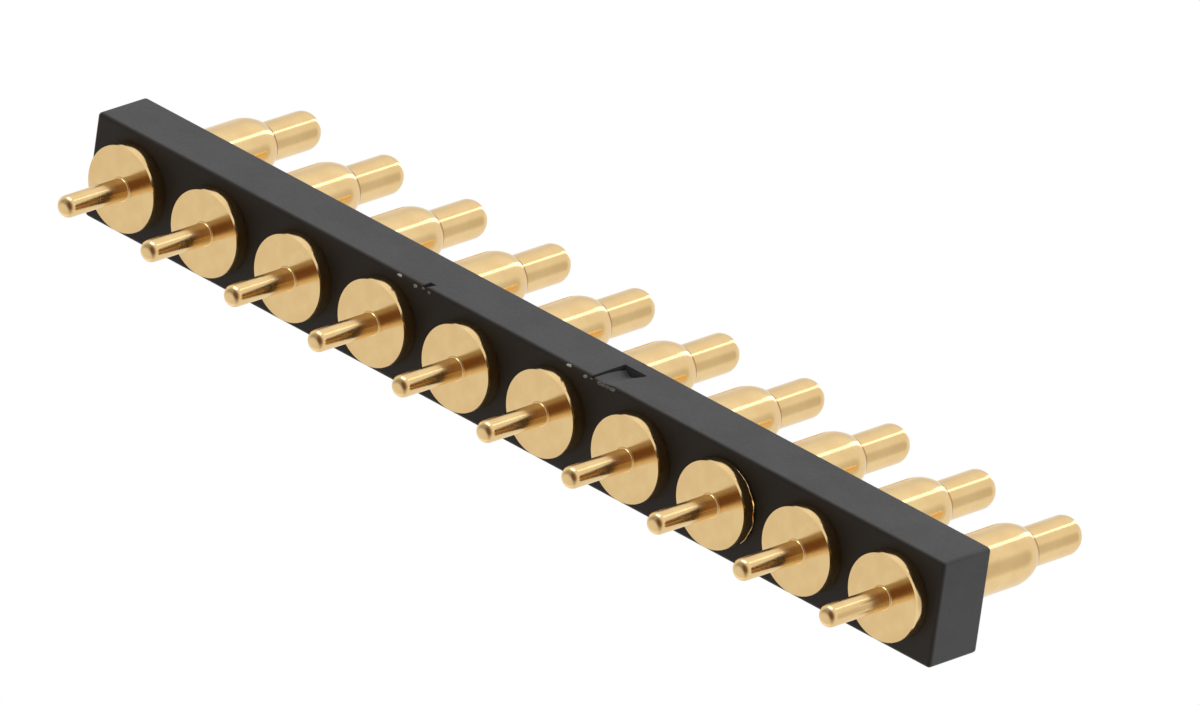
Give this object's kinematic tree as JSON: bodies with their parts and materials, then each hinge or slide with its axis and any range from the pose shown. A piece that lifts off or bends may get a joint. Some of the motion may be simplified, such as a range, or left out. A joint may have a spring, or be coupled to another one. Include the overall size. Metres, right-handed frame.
{
  "type": "spring-loaded pin header",
  "caption": "Single-row spring-loaded contact header: gold-plated barrels with solder tails and seating flanges in a black bar, each with a sprung plunger.",
  "frame": {"origin": "on the board surface (the plane of the flanges' undersides), at the middle of the row", "axes": "+X along the row from pin 1 to pin 10, +Z along the plungers away from the board, tails to -Z"},
  "size_m": [0.0254, 0.0024, 0.0078],
  "materials": {
    "insulator": "black moulded nylon, fine matte grain",
    "gold_plate": "gold plate over turned brass, polished",
    "spring_wire": "drawn spring wire"
  },
  "bodies": {
    "header": {"insulator": "insulator", "barrel_01": "gold_plate", "barrel_02": "gold_plate", "barrel_03": "gold_plate", "barrel_04": "gold_plate", "barrel_05": "gold_plate", "barrel_06": "gold_plate", "barrel_07": "gold_plate", "barrel_08": "gold_plate", "barrel_09": "gold_plate", "barrel_10": "gold_plate", "spring_01": "spring_wire", "spring_02": "spring_wire", "spring_03": "spring_wire", "spring_04": "spring_wire", "spring_05": "spring_wire", "spring_06": "spring_wire", "spring_07": "spring_wire", "spring_08": "spring_wire", "spring_09": "spring_wire", "spring_10": "spring_wire"},
    "plunger_01": {"plunger_01": "gold_plate"},
    "plunger_02": {"plunger_02": "gold_plate"},
    "plunger_03": {"plunger_03": "gold_plate"},
    "plunger_04": {"plunger_04": "gold_plate"},
    "plunger_05": {"plunger_05": "gold_plate"},
    "plunger_06": {"plunger_06": "gold_plate"},
    "plunger_07": {"plunger_07": "gold_plate"},
    "plunger_08": {"plunger_08": "gold_plate"},
    "plunger_09": {"plunger_09": "gold_plate"},
    "plunger_10": {"plunger_10": "gold_plate"}
  },
  "joints": [
    {"name": "plunger_01_press", "type": "slide", "parent": "header", "child": "plunger_01", "axis": [0, 0, -1], "range_m": [0, 0.0014], "stiffness_N_per_m": 490, "springref_m": -0.0005, "deforming": ["spring_01"]},
    {"name": "plunger_02_press", "type": "slide", "parent": "header", "child": "plunger_02", "axis": [0, 0, -1], "range_m": [0, 0.0014], "stiffness_N_per_m": 490, "springref_m": -0.0005, "deforming": ["spring_02"]},
    {"name": "plunger_03_press", "type": "slide", "parent": "header", "child": "plunger_03", "axis": [0, 0, -1], "range_m": [0, 0.0014], "stiffness_N_per_m": 490, "springref_m": -0.0005, "deforming": ["spring_03"]},
    {"name": "plunger_04_press", "type": "slide", "parent": "header", "child": "plunger_04", "axis": [0, 0, -1], "range_m": [0, 0.0014], "stiffness_N_per_m": 490, "springref_m": -0.0005, "deforming": ["spring_04"]},
    {"name": "plunger_05_press", "type": "slide", "parent": "header", "child": "plunger_05", "axis": [0, 0, -1], "range_m": [0, 0.0014], "stiffness_N_per_m": 490, "springref_m": -0.0005, "deforming": ["spring_05"]},
    {"name": "plunger_06_press", "type": "slide", "parent": "header", "child": "plunger_06", "axis": [0, 0, -1], "range_m": [0, 0.0014], "stiffness_N_per_m": 490, "springref_m": -0.0005, "deforming": ["spring_06"]},
    {"name": "plunger_07_press", "type": "slide", "parent": "header", "child": "plunger_07", "axis": [0, 0, -1], "range_m": [0, 0.0014], "stiffness_N_per_m": 490, "springref_m": -0.0005, "deforming": ["spring_07"]},
    {"name": "plunger_08_press", "type": "slide", "parent": "header", "child": "plunger_08", "axis": [0, 0, -1], "range_m": [0, 0.0014], "stiffness_N_per_m": 490, "springref_m": -0.0005, "deforming": ["spring_08"]},
    {"name": "plunger_09_press", "type": "slide", "parent": "header", "child": "plunger_09", "axis": [0, 0, -1], "range_m": [0, 0.0014], "stiffness_N_per_m": 490, "springref_m": -0.0005, "deforming": ["spring_09"]},
    {"name": "plunger_10_press", "type": "slide", "parent": "header", "child": "plunger_10", "axis": [0, 0, -1], "range_m": [0, 0.0014], "stiffness_N_per_m": 490, "springref_m": -0.0005, "deforming": ["spring_10"]}
  ]
}
